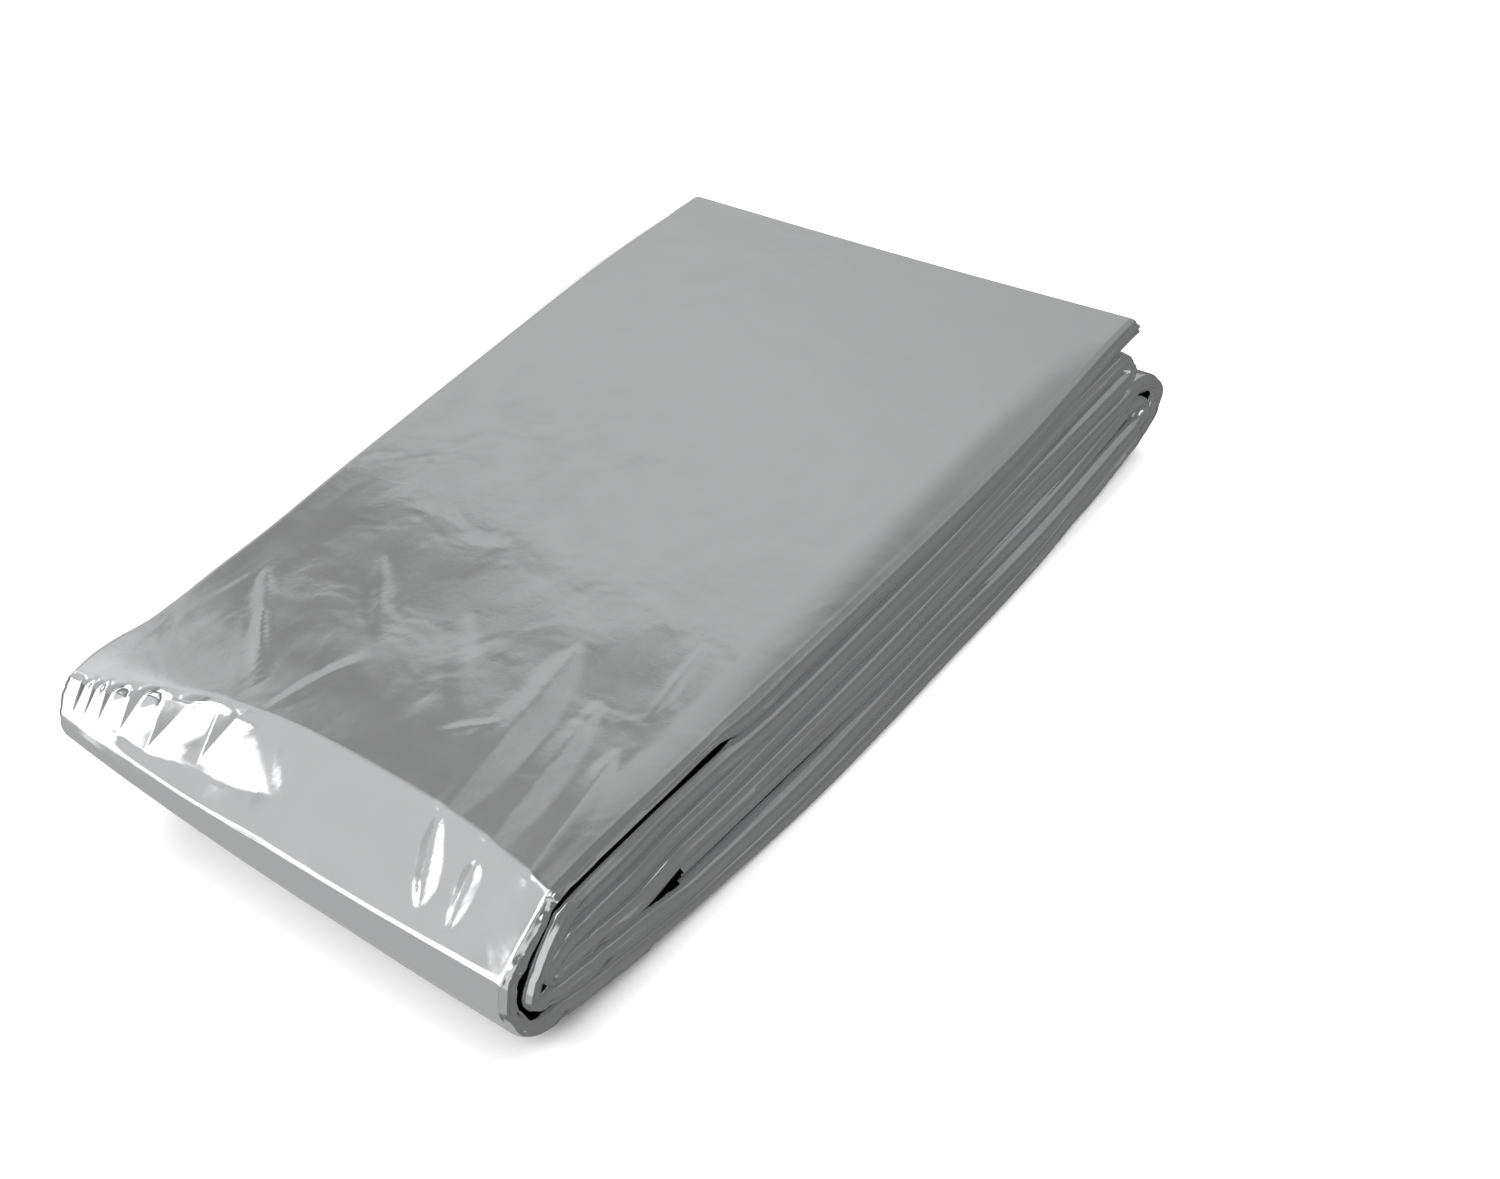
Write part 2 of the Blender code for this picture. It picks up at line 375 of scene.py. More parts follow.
# %% [markdown]
# ### The near end
#
# The top layer bends down at the crease, lies flat on the slant, turns over a ridge, drops down a narrow
# strip to its tip, and curls under at the heel. That is a line with four corners. Each one is rounded with
# a quadratic curve, which starts and ends at a named cut from the corner. The inner face is the same line
# moved inwards.

# %% The near end's two faces
# Rows along each straight stretch and round each corner, in turn.
ROW_COUNTS = dict(lead=8, crease=16, slant=26, ridge=8, strip=8, tip=8, under=6, heel=10, underside=12)

# How far from a corner its rounding starts and ends. The crease is soft at the left, and sharp elsewhere.
SOFT_CREASE, SHARP_CREASE = 6.0, 0.8
CREASE_SHARPENS_FROM, CREASE_SHARPENS_TO = 4.0, 30.0
RIDGE_CUTS, TIP_CUTS, HEEL_CUTS = (0.7, 0.5), (1.6, 1.6), (4.5, 4.5)
INNER_CUT_SHARE, LONGEST_CUT = 0.6, 0.48


def corner_line(x):
    """The corners of the near end for each x, from the top to the underside, as (y, z) pairs."""
    near = {name: read_curve(NEAR, name, x) for name in Near._fields[1:]}
    top = read_curve(STATIONS, "top", 0.0)
    start = NEAR_RUN_ENDS + 0.0 * x
    return [
        np.array([start, top_at(x, start)]),
        np.array([near["crease"], top - near["crease_drop"]]),
        np.array([near["ridge"], top - near["ridge_drop"]]),
        np.array([near["tip"], top - near["tip_drop"]]),
        np.array([near["heel"], top - near["heel_drop"]]),
        np.array([start, under_at(x, start)]),
    ], near


def moved_inwards(corners, depths):
    """The same line of corners, each moved inwards along the middle of its angle."""
    moved = []
    for index, corner in enumerate(corners):
        sides = []
        if index > 0:
            sides.append(corner - corners[index - 1])
        if index < len(corners) - 1:
            sides.append(corners[index + 1] - corner)
        normals = [np.array([-side[1], side[0]]) / np.hypot(*side) for side in sides]
        middle = sum(normals) / len(normals)
        moved.append(corner + depths[index] * middle / np.sum(middle * middle, axis=0))
    return moved


def rounded_line(corners, cuts):
    """Rows of points along a line whose corners are rounded, with a cut before and a cut after each one."""
    counts = list(ROW_COUNTS.values())
    rows, last = [], corners[0]
    for index in range(1, len(corners) - 1):
        corner = corners[index]
        back, on = corners[index - 1] - corner, corners[index + 1] - corner
        cut_back, cut_on = cuts[index - 1]
        starts = corner + back * np.minimum(cut_back / np.hypot(*back), LONGEST_CUT)
        ends = corner + on * np.minimum(cut_on / np.hypot(*on), LONGEST_CUT)
        straight, bend = counts[2 * index - 2], counts[2 * index - 1]
        rows += [mix(last, starts, step / straight) for step in range(straight)]
        for step in range(bend):
            t = step / bend
            rows.append((1 - t) ** 2 * starts + 2 * t * (1 - t) * corner + t * t * ends)
        last = ends
    straight = counts[-1]
    rows += [mix(last, corners[-1], step / straight) for step in range(straight)]
    return np.array(rows)


def near_end(x):
    """Faces A and B of the near end, as rows of (y, z) over x."""
    corners, near = corner_line(x)
    crease_cut = mix(SOFT_CREASE, SHARP_CREASE, ease(x, CREASE_SHARPENS_FROM, CREASE_SHARPENS_TO))
    cuts = [(crease_cut, SHARP_CREASE), RIDGE_CUTS, TIP_CUTS, HEEL_CUTS]
    inner_cuts = [(INNER_CUT_SHARE * back, INNER_CUT_SHARE * on) for back, on in cuts]
    thick = near["thick"]
    end_thick = thickness_at(x, NEAR_RUN_ENDS + 0.0 * x)
    depths = [end_thick, mix(end_thick, thick, 0.5), thick, thick, thick, end_thick]
    inner = moved_inwards(corners, depths)
    return rounded_line(corners, cuts), rounded_line(inner, inner_cuts)


print("rows round the near end:", sum(ROW_COUNTS.values()))

# %% [markdown]
# ### The layers inside
#
# Inside, a layer is a middle plane with half its thickness on either side. A fold is half an ellipse
# between two layers, and its middle line goes on smoothly from theirs, so that the film keeps its thickness
# round the fold.

# %% Middle line of the film inside
Place = namedtuple("Place", "y layer after turned")
ROW_STEP = 1.6


def flat_places(layer, begin, finish, step):
    count = max(int(round(abs(finish - begin) / step)), 1)
    return [Place(y, layer, layer, 0.0) for y in np.linspace(begin, finish, count + 1)]


def fold_places(fold, layer, after):
    places = []
    for index in range(1, fold.steps):
        angle = math.pi * index / fold.steps
        y = mix(fold.start, fold.tip, math.sin(angle))
        places.append(Place(y, layer, after, (1.0 - math.cos(angle)) / 2.0))
    return places


def inner_places():
    """The film from the underside's near end to its last edge inside."""
    begins = [None, NEAR_RUN_ENDS] + [fold.start for fold in FOLDS[1:]]
    finishes = [None] + [fold.start for fold in FOLDS[1:]] + [INNER_NEAR_EDGE]
    places = []
    for index in range(1, len(LAYERS)):
        places += flat_places(LAYERS[index], begins[index], finishes[index], ROW_STEP)
        if index < len(FOLDS):
            places += fold_places(FOLDS[index], LAYERS[index], LAYERS[index + 1])
    return places


def middle_line(place, x):
    """Where the film's middle lies for one place of its path, and how thick it is."""
    pinch = ease(-place.y, -PINCH_FROM, -PINCH_TO)
    inside = place.layer is not BOTTOM or place.after is not BOTTOM
    y = place.y + (read_curve(NEAR, "draw_in", x) * pinch if inside else 0.0 * x)
    top, under, thick = top_at(x, y), under_at(x, y), thickness_at(x, y)
    share = mix(share_at(place.layer, y), share_at(place.after, y), place.turned)
    sunk = [slack_at(layer, y, x / PACK_WIDTH) for layer in (place.layer, place.after)]
    z = mix(top - thick / 2, under + thick / 2, share) - mix(sunk[0], sunk[1], place.turned)
    return y, z, thick


places = inner_places()
print("rows inside:", len(places))

# %% [markdown]
# ### Relief: pleats
#
# What a mirror shows depends on the slope of its surface. So the relief of the film is worked out as
# heights over its outer face, in the mesh itself, and a few tenths of a millimetre are enough to swing a
# reflection from a grey wall to a white light.
#
# Where the film goes over the near end it is gathered at the left into pleats, like teeth: a dark facet
# that faces left, and then a bright one that faces right. The dark ones narrow to a point down the slant.
# Each row of the table says where a dark facet starts and ends along its upper edge, and where its tip is.
# Down is counted along the film from the crease, in millimetres, and so below zero on the top face.

# %% Pleats
Pleat = namedtuple("Pleat", "left right top tip tip_down slope")
PLEATS = (
    Pleat(0.9, 2.6, 1.5, 2.1, 6.0, 0.27),
    Pleat(3.0, 4.7, 1.0, 4.2, 6.0, 0.27),
    Pleat(5.2, 7.5, 0.8, 6.8, 6.2, 0.28),
    Pleat(8.8, 12.4, 0.6, 10.7, 7.0, 0.27),
    Pleat(13.9, 19.8, 0.6, 16.1, 8.5, 0.20),
    Pleat(22.5, 27.2, 0.8, 24.7, 8.5, 0.18),
)
PLEATS_START, PLEATS_END = -3.0, 31.5

# A pleat fades in over its upper end, and a hair's gap keeps the sides of a dark facet apart at its tip.
PLEAT_FADE_ABOVE, PLEAT_FADE_BELOW = 1.0, 0.9
FACET_GAP = 0.01


def pleated(x, down):
    """Height of the pleats: it rises over each dark facet and falls over the bright one after it."""
    corners = [(PLEATS_START + 0.0 * x, 0.0 * x)]
    for pleat in PLEATS:
        part = np.clip((down - pleat.top) / (pleat.tip_down - pleat.top), 0.0, 1.0)
        left, right = mix(pleat.left, pleat.tip, part), mix(pleat.right, pleat.tip, part)
        fade = ease(down, pleat.top - PLEAT_FADE_ABOVE, pleat.top + PLEAT_FADE_BELOW)
        half = pleat.slope * (right - left) / 2.0 * fade
        corners += [(left, -half), (right + FACET_GAP, half)]
    corners.append((PLEATS_END + 0.0 * x, 0.0 * x))
    height = 0.0 * x
    for (here, low), (there, high) in zip(corners, corners[1:]):
        part = (x - here) / (there - here)
        height = np.where((part >= 0.0) & (part < 1.0), mix(low, high, part), height)
    return height


pleat_heights = [round(pleat.slope * (pleat.right - pleat.left), 2) for pleat in PLEATS]
print("rise of each dark facet, mm:", pleat_heights)

# %% [markdown]
# ### Relief: single creases
#
# The other creases are low ridges. Each runs from one point to another, swells in between, and falls off to
# both sides. The side before its line and the side after it have widths of their own, so that one can be
# steep and the other gentle, and the lean moves its highest place along the line.

# %% Single creases
Ridge = namedtuple("Ridge", "x down to_x to_down before after height lean")
RIDGES = (
    Ridge(62.8, 0.2, 68.3, 11.4, 2.2, 2.8, 0.34, 1.2),
    Ridge(71.8, 2.6, 73.5, 11.2, 1.8, 2.3, 0.26, 0.6),
    Ridge(36.0, 2.4, 40.6, 8.6, 2.2, 1.6, 0.19, 0.8),
    Ridge(57.5, -30.0, 64.0, 6.0, 3.5, 5.5, 0.18, 0.8),
    Ridge(67.0, -24.0, 72.5, 6.0, 2.6, 4.2, 0.13, 0.8),
    Ridge(74.8, -20.0, 80.0, 2.0, 2.6, 2.6, 0.15, 0.9),
    Ridge(72.0, -40.0, 74.4, -25.0, 1.2, 1.8, 0.06, 1.0),
    Ridge(34.2, -15.0, 29.5, -1.0, 2.0, 1.7, 0.12, 1.0),
    Ridge(7.0, -27.0, 17.0, -14.0, 2.2, 2.0, 0.08, 1.0),
    Ridge(13.0, -19.0, 25.5, -4.0, 2.0, 1.5, 0.12, 1.0),
    Ridge(48.0, -14.0, 48.8, -4.0, 1.5, 1.2, 0.09, 1.0),
    Ridge(52.0, -7.0, 58.5, -14.5, 1.5, 1.5, 0.10, 1.0),
    Ridge(40.0, -27.0, 52.0, -12.0, 3.0, 3.0, 0.08, 1.0),
    Ridge(20.0, -33.0, 33.0, -17.0, 3.0, 2.5, 0.10, 1.0),
)
RIDGE_SWELL_POWER = 0.7


def ridged(x, down):
    """Height of the single creases."""
    height = 0.0 * x
    for ridge in RIDGES:
        part = np.clip((down - ridge.down) / (ridge.to_down - ridge.down), 0.0, 1.0)
        off = x - mix(ridge.x, ridge.to_x, part)
        swell = np.sin(math.pi * part ** ridge.lean) ** RIDGE_SWELL_POWER
        side = np.where(off < 0.0, swell + off / ridge.before, swell - off / ridge.after)
        height = height + ridge.height * np.clip(side, 0.0, 1.0)
    return height


print("single creases:", len(RIDGES), "and the highest one, mm:", max(ridge.height for ridge in RIDGES))

# %% [markdown]
# ### Relief: swells and a soft bend
#
# The top isn't a flat mirror either. Broad swells, at most 0.2 mm high, break the reflection of the ceiling
# into clouds. They are bell curves, which start and end without an edge. Across the left half of the slant
# runs a soft bend: the film is steeper above it than below, so the bright light that the upper part mirrors
# ends along a slanted border.

# %% Swells and a soft bend
Swell = namedtuple("Swell", "x y reach_x reach_y height")
SWELLS = (
    Swell(50.0, 18.0, 12.0, 15.0, 0.15),
    Swell(8.0, 27.0, 12.0, 15.0, -0.20),
    Swell(29.0, 29.0, 7.0, 8.0, -0.06),
    Swell(69.0, 29.0, 5.0, 8.0, -0.08),
    Swell(17.0, 44.0, 5.0, 5.0, 0.03),
    Swell(38.0, 38.0, 4.0, 5.0, -0.025),
    Swell(57.0, 33.0, 3.0, 5.0, 0.03),
    Swell(8.0, 34.0, 4.0, 4.0, -0.02),
    Swell(24.0, 20.0, 5.0, 7.0, -0.04),
    Swell(36.0, 17.0, 4.0, 6.0, 0.04),
    Swell(22.0, 88.0, 12.0, 16.0, 0.10),
    Swell(60.0, 100.0, 16.0, 20.0, -0.12),
    Swell(40.0, 62.0, 18.0, 14.0, -0.10),
)

# The bend, for places across the pack: how far down it starts, how far down it is deepest, and how deep.
Knee = namedtuple("Knee", "x start down depth")
KNEES = (
    Knee(0.0, 0.0, 3.0, 0.0),
    Knee(8.0, 0.0, 5.6, 0.05),
    Knee(16.0, 0.0, 8.8, 0.40),
    Knee(22.0, 0.0, 9.5, 0.54),
    Knee(27.0, 0.1, 10.0, 0.57),
    Knee(30.0, 1.6, 10.2, 0.53),
    Knee(33.0, 4.6, 10.2, 0.38),
    Knee(36.0, 6.8, 9.8, 0.20),
    Knee(38.5, 8.4, 9.3, 0.05),
    Knee(42.0, 8.0, 9.0, 0.0),
    Knee(83.0, 8.0, 9.0, 0.0),
)


def swollen(x, y):
    """Height of the broad, soft unevenness of the top."""
    height = 0.0 * x
    for swell in SWELLS:
        off = ((x - swell.x) / swell.reach_x) ** 2 + ((y - swell.y) / swell.reach_y) ** 2
        height = height + swell.height * np.exp(-off)
    return height


def kneed(x, down, length):
    """Depth of the soft bend across the slant at its left. The slant is steeper above it than below."""
    start, at, depth = (read_curve(KNEES, name, x) for name in ("start", "down", "depth"))
    part = np.minimum((down - start) / (at - start), (length - down) / (length - at))
    return -depth * np.clip(part, 0.0, 1.0)


print("swells:", len(SWELLS), "and the deepest point of the bend, mm:", max(knee.depth for knee in KNEES))

# %% [markdown]
# ### Edges of a row
#
# The long edges are where the plies show. Each edge is rounded, and four soft lobes run along it that come
# and go, as bundles of plies do. Near both ends of the pack the film is bent hardest. Its edges are
# crinkled there, which breaks their reflections into sparks.

# %% Rows with their edges
RIM_POINTS = 17
RIM_REACH = 0.55
THIN_RIM = 2.6
LOBES, LOBE_DEPTH = 4, 0.15
LOBE_WAVES = (Wave(1.3, 31.0, 1.0), Wave(0.5, 12.7, 2.3))
CRINKLE_WAVES = (Wave(1.0, 0.74, 1.0), Wave(0.8, 0.47, 3.0), Wave(1.0, 1.9, 0.0))
CRINKLED_BEFORE, CRINKLED_AFTER, CRINKLE_FADE = 1.0, 118.0, 8.0
CRINKLE_TWIST, CRINKLE_REACH = 0.7, 0.05
RIGHT_SEED, LEFT_SEED = 0.7, 2.9


def with_width(layer, after, turned, y, x, inset):
    """The row's true x, stretched so that its edges, rims included, stand where the layer's edges do."""
    left, right = (mix(a, b, turned) for a, b in zip(edges_at(layer, y), edges_at(after, y)))
    return mix(-left + inset, PACK_WIDTH + right - inset, x / PACK_WIDTH)


def rim(first, second, side, seed, run):
    """Points round a long edge, from one face to the other."""
    part = np.arange(1, RIM_POINTS + 1) / (RIM_POINTS + 1)
    angle = math.pi * part
    thick = np.linalg.norm(first - second, axis=-1)[:, None]
    reach = RIM_REACH * (np.maximum(thick, THIN_RIM) if side > 0.0 else thick)
    y = first[:, 1]
    crinkled = 1.0 - ease(y, CRINKLED_BEFORE, CRINKLED_BEFORE + CRINKLE_FADE)
    crinkled = crinkled + ease(y, CRINKLED_AFTER, CRINKLED_AFTER + CRINKLE_FADE)
    crinkle = crinkled * waves_at(CRINKLE_WAVES, run, seed)
    wander = waves_at(LOBE_WAVES, run, seed) + CRINKLE_TWIST * crinkle
    reach = reach * (1.0 + CRINKLE_REACH * crinkle[:, None])
    lobes = 1.0 + LOBE_DEPTH * np.cos(2 * math.pi * LOBES * part[None, :] + wander[:, None])
    points = mix(first[:, None, :], second[:, None, :], ((1.0 - np.cos(angle)) / 2.0)[None, :, None])
    points[:, :, 0] += side * reach * np.sin(angle)[None, :] * lobes
    return points


def closed_rows(face_a, face_b):
    """Rings of points round the film: face A, the right rim, face B from right to left, the left rim."""
    middle = (face_a[:, -1] + face_b[:, -1]) / 2.0
    run = np.concatenate([[0.0], np.cumsum(np.linalg.norm(np.diff(middle, axis=0), axis=1))])
    right = rim(face_a[:, -1], face_b[:, -1], 1.0, RIGHT_SEED, run)
    left = rim(face_b[:, 0], face_a[:, 0], -1.0, LEFT_SEED, run)
    return np.concatenate([face_a, right, face_b[:, ::-1], left], axis=1)


print("points in a ring:", len(MANY_COLUMNS) + len(FEW_COLUMNS) + 2 * RIM_POINTS)

# %% [markdown]
# ### The rows that show
#
# The top layer and the near end are the rows that show, so their outer face gets the relief. The rows lie
# closer together from the swells on. The way down the film is added up along each column and counted from
# the middle of the crease. Each point then moves off the face by its height, square to the face.

# %% Outer rows
CREASED_FROM, CREASED_ROW_STEP = 46.0, 0.7
SWELLS_FADE = 6.0

# Rows of the near end, over which the slack fades out and the edges turn into the underside's.
SLACK_FADES_FROM, SLACK_FADES_TO = 30, 70
TURN_FROM_ROW, TURN_ROWS = 40, 40

top_places = flat_places(TOP, TOP_FAR_EDGE, CREASED_FROM, ROW_STEP)[:-1]
top_places += flat_places(TOP, CREASED_FROM, NEAR_RUN_ENDS, CREASED_ROW_STEP)[:-1]
crease_row = len(top_places) + ROW_COUNTS["lead"] + ROW_COUNTS["crease"] // 2
ridge_row = crease_row + ROW_COUNTS["crease"] // 2 + ROW_COUNTS["slant"] + ROW_COUNTS["ridge"] // 2


def plain_face(columns, face):
    """Rows of y and z on face A, which is 0, or face B, which is 1, before any relief."""
    across = columns / PACK_WIDTH
    rows = []
    for place in top_places:
        y = place.y + 0.0 * columns
        thick = face * thickness_at(columns, y) * (1.0 - thinned(across, y))
        rows.append((y, top_at(columns, y) - slack_at(TOP, y, across) - thick))
    for index, (y, z) in enumerate(near_end(columns)[face]):
        fade = 1.0 - ease(index, SLACK_FADES_FROM, SLACK_FADES_TO)
        thick = face * thickness_at(columns, y) * thinned(across, y)
        rows.append((y, z - (slack_at(TOP, y, across) - thick) * fade))
    return np.array(rows).transpose(1, 0, 2)


def with_relief(x, y, z):
    """The rows of face A, moved off by the height of the relief."""
    steps = np.hypot(np.diff(y, axis=0), np.diff(z, axis=0))
    down = np.concatenate([0.0 * y[:1], np.cumsum(steps, axis=0)])
    down = down - down[crease_row]
    height = pleated(x, down) + ridged(x, down) + kneed(x, down, down[ridge_row] + 0.0 * y)
    height = height + swollen(x, y) * ease(-down, 0.0, SWELLS_FADE)
    along_y, along_z = np.gradient(y, axis=0), np.gradient(z, axis=0)
    length = np.hypot(along_y, along_z)
    return y + height * along_z / length, z - height * along_y / length


def outer_rows():
    """The top layer and the near end. Round the near end its edges turn into the underside's."""
    faces = []
    for columns, face in ((MANY_COLUMNS, 0), (FEW_COLUMNS, 1)):
        y, z = plain_face(columns, face)
        turned = np.clip((np.arange(len(y)) - len(top_places) - TURN_FROM_ROW) / TURN_ROWS, 0.0, 1.0)
        x = with_width(TOP, BOTTOM, turned[:, None], y, columns, RIM_REACH * THIN_RIM)
        if face == 0:
            y, z = with_relief(x, y, z)
        faces.append(np.stack([x, y, z], axis=-1))
    return closed_rows(*faces)


outer = outer_rows()
print("outer rings:", outer.shape)

# %% [markdown]
# ### The rows inside
#
# The rows behind the near end follow the middle line, and their two faces lie half the film's thickness off
# it. They have few columns and no relief, because only their long edges show.

# %% Inner rows


def inner_rows():
    """All the film behind the near end. Its faces lie half its thickness off its middle line."""
    x = FEW_COLUMNS
    lines = [middle_line(place, x) for place in places]
    y, z, thick = (np.array([line[index] for line in lines]) for index in range(3))
    along_y, along_z = np.gradient(y, axis=0), np.gradient(z, axis=0)
    length = np.hypot(along_y, along_z)
    out_y, out_z = along_z / length, -along_y / length
    across = np.array(
        [
            with_width(place.layer, place.after, place.turned, row, x, RIM_REACH * thin)
            for place, row, thin in zip(places, y, thick)
        ]
    )
    faces = [
        np.stack([across, y + side * out_y * thick / 2, z + side * out_z * thick / 2], axis=-1)
        for side in (1.0, -1.0)
    ]
    return closed_rows(*faces)


inner = inner_rows()
print("inner rings:", inner.shape)

# %% [markdown]
# ### One mesh
#
# Neighbouring rings are joined with four-sided faces. Where the many columns meet the few, a few-sided face
# takes in the extra points, and the film's two free edges are closed in the same way.

# %% Build the film
SHARP_ANGLE = 80.0


def ring_faces(count, size, first):
    """Four-sided faces between neighbouring rings of one size."""
    ring, point = np.meshgrid(np.arange(count - 1), np.arange(size), indexing="ij")
    after = (point + 1) % size
    here, there = first + ring * size, first + (ring + 1) * size
    quads = np.stack([here + point, here + after, there + after, there + point], axis=-1)
    return quads.reshape(-1, 4).tolist()


def joining_faces(many_first, few_first):
    """Faces between a ring with many columns on face A and a ring with few."""
    stops = np.searchsorted(MANY_COLUMNS, FEW_COLUMNS).tolist()
    faces = []
    for index in range(len(stops) - 1):
        upper = [many_first + p for p in range(stops[index], stops[index + 1] + 1)]
        faces.append(upper + [few_first + index + 1, few_first + index])
    many, few = len(MANY_COLUMNS) - 1, len(FEW_COLUMNS) - 1
    rest = 2 * RIM_POINTS + len(FEW_COLUMNS)
    for step in range(rest + 1):
        here, there = many + step, few + step
        after, beyond = here + 1, there + 1
        if step == rest:
            after, beyond = 0, 0
        faces.append([many_first + here, many_first + after, few_first + beyond, few_first + there])
    return faces


def end_faces(first, columns, flip):
    """Faces that close the film at a free edge."""
    stops = np.searchsorted(columns, FEW_COLUMNS).tolist()
    side = len(columns) - 1
    back = [first + side + RIM_POINTS + len(FEW_COLUMNS) - index for index in range(len(FEW_COLUMNS))]
    faces = []
    for index in range(len(stops) - 1):
        upper = [first + p for p in range(stops[index], stops[index + 1] + 1)]
        faces.append(upper + [back[index + 1], back[index]])
    right = [first + side + step for step in range(RIM_POINTS + 2)]
    left = [back[0] + step for step in range(RIM_POINTS + 1)] + [first]
    faces += [right, left]
    return [face[::-1] if flip else face for face in faces]


def film_mesh(outer, inner):
    points = np.concatenate([outer.reshape(-1, 3), inner.reshape(-1, 3)])
    points = (points + np.array([PACK_LEFT, CREASE_LINE, 0.0])) * MM
    points[:, 2] = np.maximum(points[:, 2], 0.0)
    inner_first = outer.shape[0] * outer.shape[1]
    faces = ring_faces(outer.shape[0], outer.shape[1], 0)
    faces += ring_faces(inner.shape[0], inner.shape[1], inner_first)
    faces += joining_faces(inner_first - outer.shape[1], inner_first)
    faces += end_faces(0, MANY_COLUMNS, False)
    faces += end_faces(len(points) - inner.shape[1], FEW_COLUMNS, True)
    mesh = bpy.data.meshes.new("folded_film")
    mesh.from_pydata(points.tolist(), [], [face[::-1] for face in faces])
    mesh.validate()
    mesh.shade_smooth()
    mesh.set_sharp_from_angle(angle=math.radians(SHARP_ANGLE))
    return mesh


film = bpy.data.objects.new("folded_film", film_mesh(outer, inner))
bpy.context.scene.collection.objects.link(film)
triangles = sum(len(face.vertices) - 2 for face in film.data.polygons)
print("triangles:", triangles)

# %% [markdown]
# ## Nodes
#
# Materials and the world are built from nodes. One small function adds a node of any kind with its settings
# and links, so that a chain of nodes reads like a formula. Colours are written as on a colour card, in
# sRGB, and turned into the linear numbers that Blender works in.

# %% A node, and a colour


def linear(code):
    """An sRGB hex colour as the linear numbers that Blender works in."""
    parts = [int(code[index:index + 2], 16) / 255.0 for index in (0, 2, 4)]
    return [part / 12.92 if part <= 0.04045 else ((part + 0.055) / 1.055) ** 2.4 for part in parts] + [1.0]


def node(tree, kind, settings=None, links=None):
    """Adds a node. Settings are its own values or its input values, links say what feeds its inputs."""
    made = tree.nodes.new(kind)
    for key, value in (settings or {}).items():
        if isinstance(key, int) or key in made.inputs:
            made.inputs[key].default_value = value
        else:
            setattr(made, key, value)
    for key, source in (links or {}).items():
        tree.links.new(source, made.inputs[key])
    return made


print("middle grey, 808080, is linear", round(linear("808080")[0], 3))

# %% [markdown]
# ## The finish
#
# Vacuum-metallised polyester film is aluminium some tens of nanometres thick, condensed on clear plastic
# of 0.012 mm. The eye sees the metal: a bright mirror with a faintly cool tint. New film is a clear mirror,
# and folding and pressing leave it satin.
#
# A metal keeps Blender's usual IOR. Polished metal has a roughness near 0.05 and satin metal near 0.2, and
# the pack lies between them, rubbed in patches of 6 mm, about half a fingertip. Its crumple is too low to
# change the outline, so it is bump: soft dents 11 mm apart and up to 0.1 mm deep, and a fine one. The
# finest real crumple is about 1 mm across, and it is drawn here at 2.2 mm, so that it shows.

# %% Vacuum-metallised polyester film
ALUMINIUM = "F2F3F4"
RUB_SIZE, RUB_DETAIL = 6.0, 5.0
RUB_FROM, RUB_TO = 0.35, 0.7
SATIN_FROM, SATIN_TO = 0.085, 0.15
Crumple = namedtuple("Crumple", "size depth detail")
CRUMPLES = (Crumple(11.0, 0.10, 2.0), Crumple(2.2, 0.010, 4.0))
CRUMPLE_DISTORTION = 0.6


def metallised_film():
    material = bpy.data.materials.new("vacuum_metallised_polyester_film")
    material.use_nodes = True
    tree = material.node_tree
    shader = tree.nodes["Principled BSDF"]
    shader.inputs["Base Color"].default_value = linear(ALUMINIUM)
    shader.inputs["Metallic"].default_value = 1.0
    place = node(tree, "ShaderNodeTexCoord").outputs["Object"]
    settings = {"Scale": 1.0 / (RUB_SIZE * MM), "Detail": RUB_DETAIL}
    rub = node(tree, "ShaderNodeTexNoise", settings, {"Vector": place}).outputs["Fac"]
    settings = {1: RUB_FROM, 2: RUB_TO, 3: SATIN_FROM, 4: SATIN_TO}
    satin = node(tree, "ShaderNodeMapRange", settings, {0: rub}).outputs[0]
    tree.links.new(satin, shader.inputs["Roughness"])
    under = {}
    for crumple in CRUMPLES:
        settings = {"Scale": 1.0 / (crumple.size * MM), "Detail": crumple.detail}
        settings["Distortion"] = CRUMPLE_DISTORTION
        dents = node(tree, "ShaderNodeTexNoise", settings, {"Vector": place}).outputs["Fac"]
        settings = {"Strength": 1.0, "Distance": crumple.depth * MM}
        bump = node(tree, "ShaderNodeBump", settings, {"Height": dents, **under}).outputs[0]
        under = {"Normal": bump}
    tree.links.new(bump, shader.inputs["Normal"])
    return material


film.data.materials.append(metallised_film())
print("roughness:", SATIN_FROM, "to", SATIN_TO, "and crumple sizes, mm:", [one.size for one in CRUMPLES])

# %% [markdown]
# ## The floor
#
# The pack lies on a large sheet of white paper. Paper is matt, so its roughness is high, and its tone
# varies by about one part in a hundred in clouds of 4 mm, as pulp does. The floor is hidden from the film's
# reflections: low cards in the next table stand for it there, where their brightness can be set.

# %% White paper floor
PAPER_TONES = "F3F3F3", "F5F5F5"
PAPER_CLOUD, PAPER_DETAIL = 4.0, 3.0
PAPER_ROUGHNESS = 0.9
FLOOR_HALF = 4.0


def white_paper():
    material = bpy.data.materials.new("white_paper")
    material.use_nodes = True
    tree = material.node_tree
    shader = tree.nodes["Principled BSDF"]
    shader.inputs["Roughness"].default_value = PAPER_ROUGHNESS
    place = node(tree, "ShaderNodeTexCoord").outputs["Object"]
    settings = {"Scale": 1.0 / (PAPER_CLOUD * MM), "Detail": PAPER_DETAIL}
    cloud = node(tree, "ShaderNodeTexNoise", settings, {"Vector": place}).outputs["Fac"]
    settings = {"data_type": "RGBA", 6: linear(PAPER_TONES[0]), 7: linear(PAPER_TONES[1])}
    tone = node(tree, "ShaderNodeMix", settings, {0: cloud}).outputs[2]
    tree.links.new(tone, shader.inputs["Base Color"])
    return material


